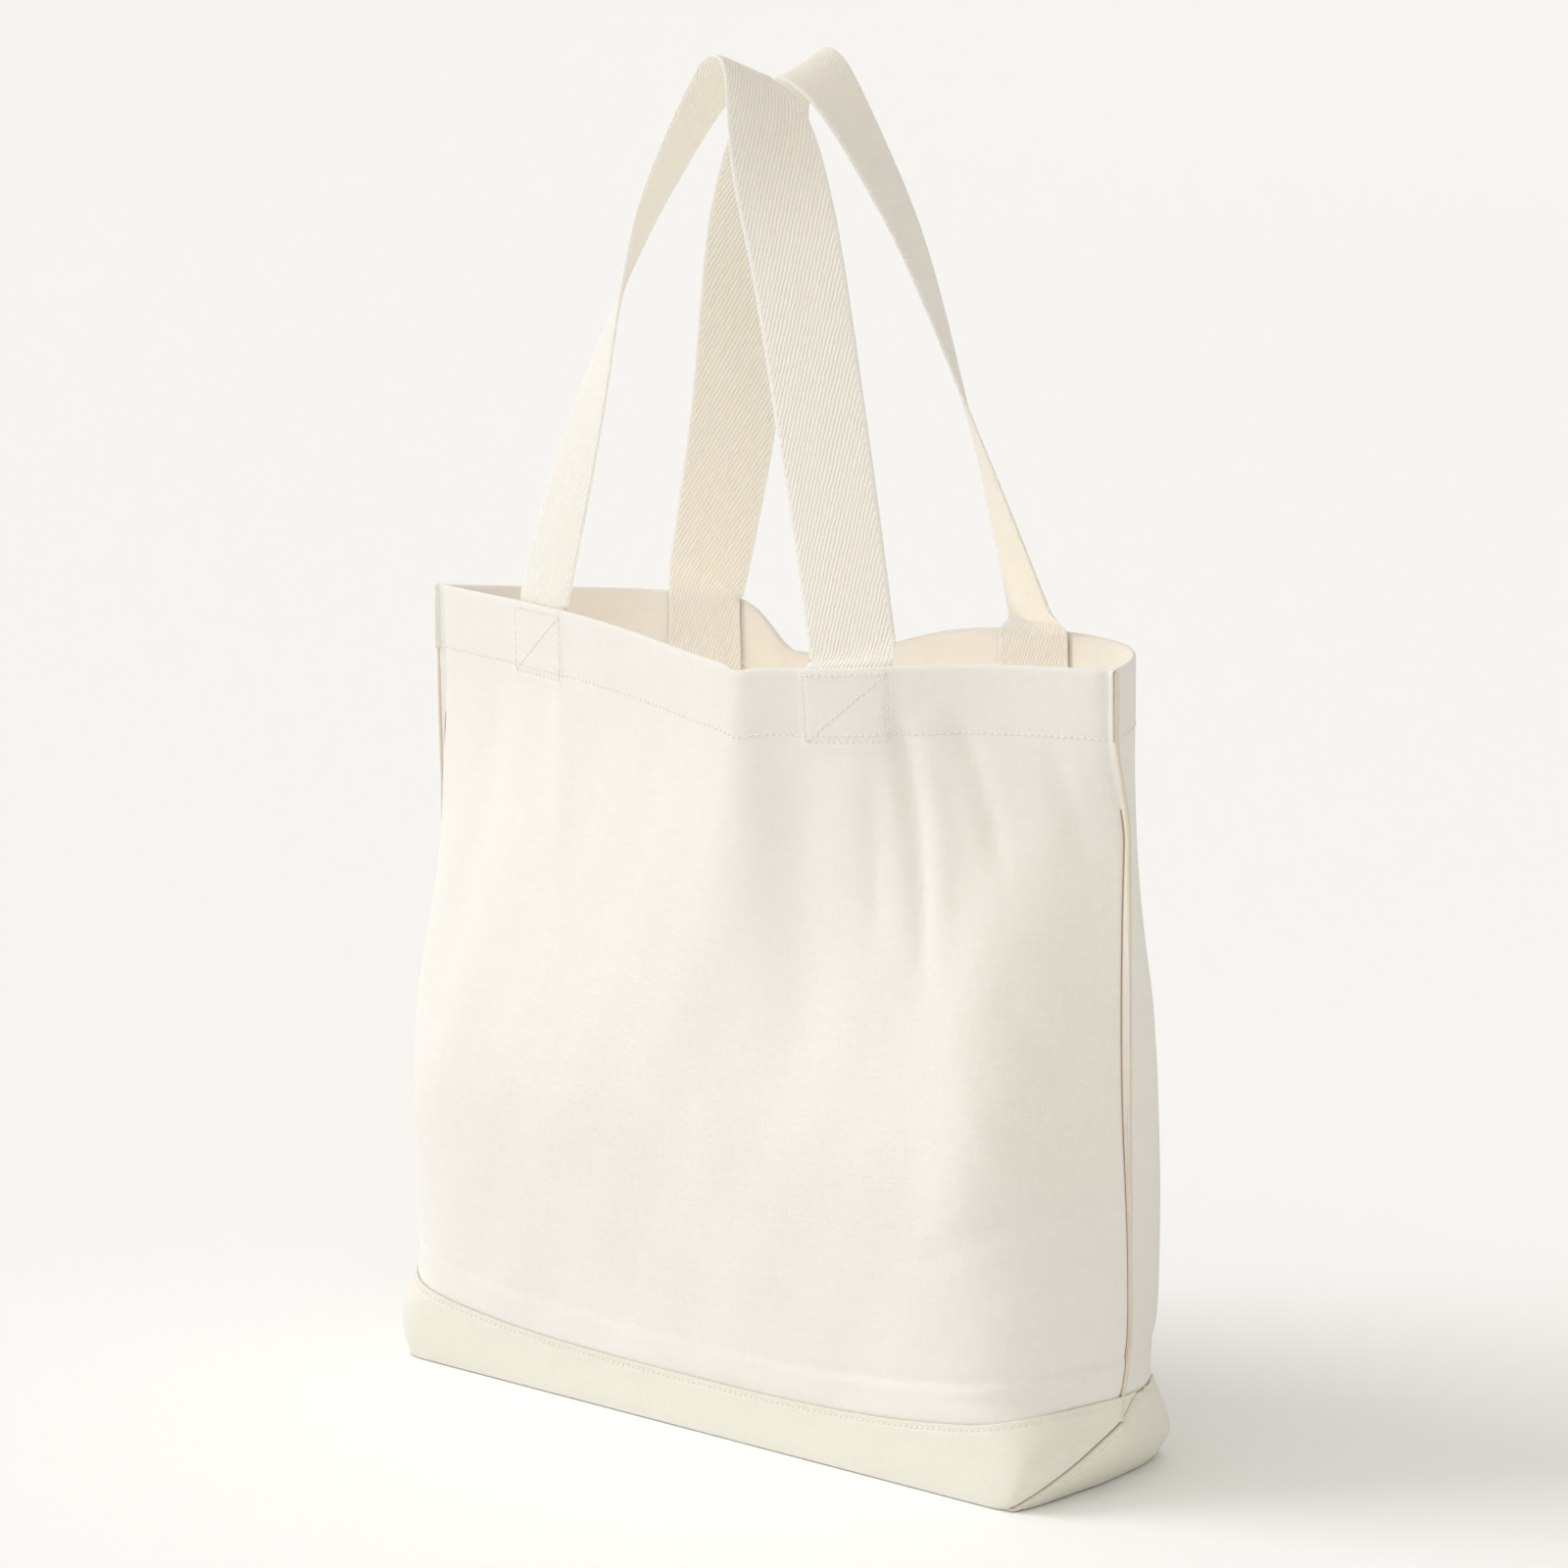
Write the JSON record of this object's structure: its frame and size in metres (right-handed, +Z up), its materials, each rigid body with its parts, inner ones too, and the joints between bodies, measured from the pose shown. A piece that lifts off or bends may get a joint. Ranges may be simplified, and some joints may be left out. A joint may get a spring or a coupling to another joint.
{
  "type": "canvas tote bag",
  "caption": "Natural canvas tote bag with a boxed, contrast base band, an open hemmed mouth and two webbing shoulder handles held by box stitching.",
  "frame": {"origin": "middle of the flat base, on the surface the bag stands on", "axes": "+X to the bag's right side seam, -Y toward its front panel, +Z up toward the handles"},
  "size_m": [0.4118, 0.1299, 0.6038],
  "materials": {
    "canvas_body": "matte plain-weave cotton canvas, off-white",
    "canvas_base": "matte plain-weave cotton canvas, slightly yellower cream",
    "webbing": "matte twill cotton webbing, cream",
    "thread": "matte cotton sewing thread, off-white",
    "seam_edge": "matte raw canvas edge, tan"
  },
  "bodies": {
    "bag": {"base_panel": "canvas_base", "front_panel": "canvas_body", "front_rim_hem": "canvas_body", "front_hem_stitch": "thread", "front_base_topstitch": "thread", "front_left_handle_tail": "webbing", "front_left_box_stitch": "thread", "front_right_handle_tail": "webbing", "front_right_box_stitch": "thread", "back_panel": "canvas_body", "back_rim_hem": "canvas_body", "back_hem_stitch": "thread", "back_base_topstitch": "thread", "back_left_handle_tail": "webbing", "back_left_box_stitch": "thread", "back_right_handle_tail": "webbing", "back_right_box_stitch": "thread", "left_side_seam": "seam_edge", "left_corner_seam": "seam_edge", "right_side_seam": "seam_edge", "right_corner_seam": "seam_edge"},
    "front_handle": {"front_handle": "webbing"},
    "back_handle": {"back_handle": "webbing"}
  },
  "joints": [
    {"name": "front_handle_swing", "type": "hinge", "parent": "bag", "child": "front_handle", "pos_m": [-0.0155, -0.0485, 0.35425], "axis": [0.9923, -0.121, -0.0266], "range_deg": [0, 165]},
    {"name": "back_handle_swing", "type": "hinge", "parent": "bag", "child": "back_handle", "pos_m": [0.0055, 0.062, 0.3565], "axis": [-0.9986, -0.0534, -0.0053], "range_deg": [0, 165]}
  ]
}
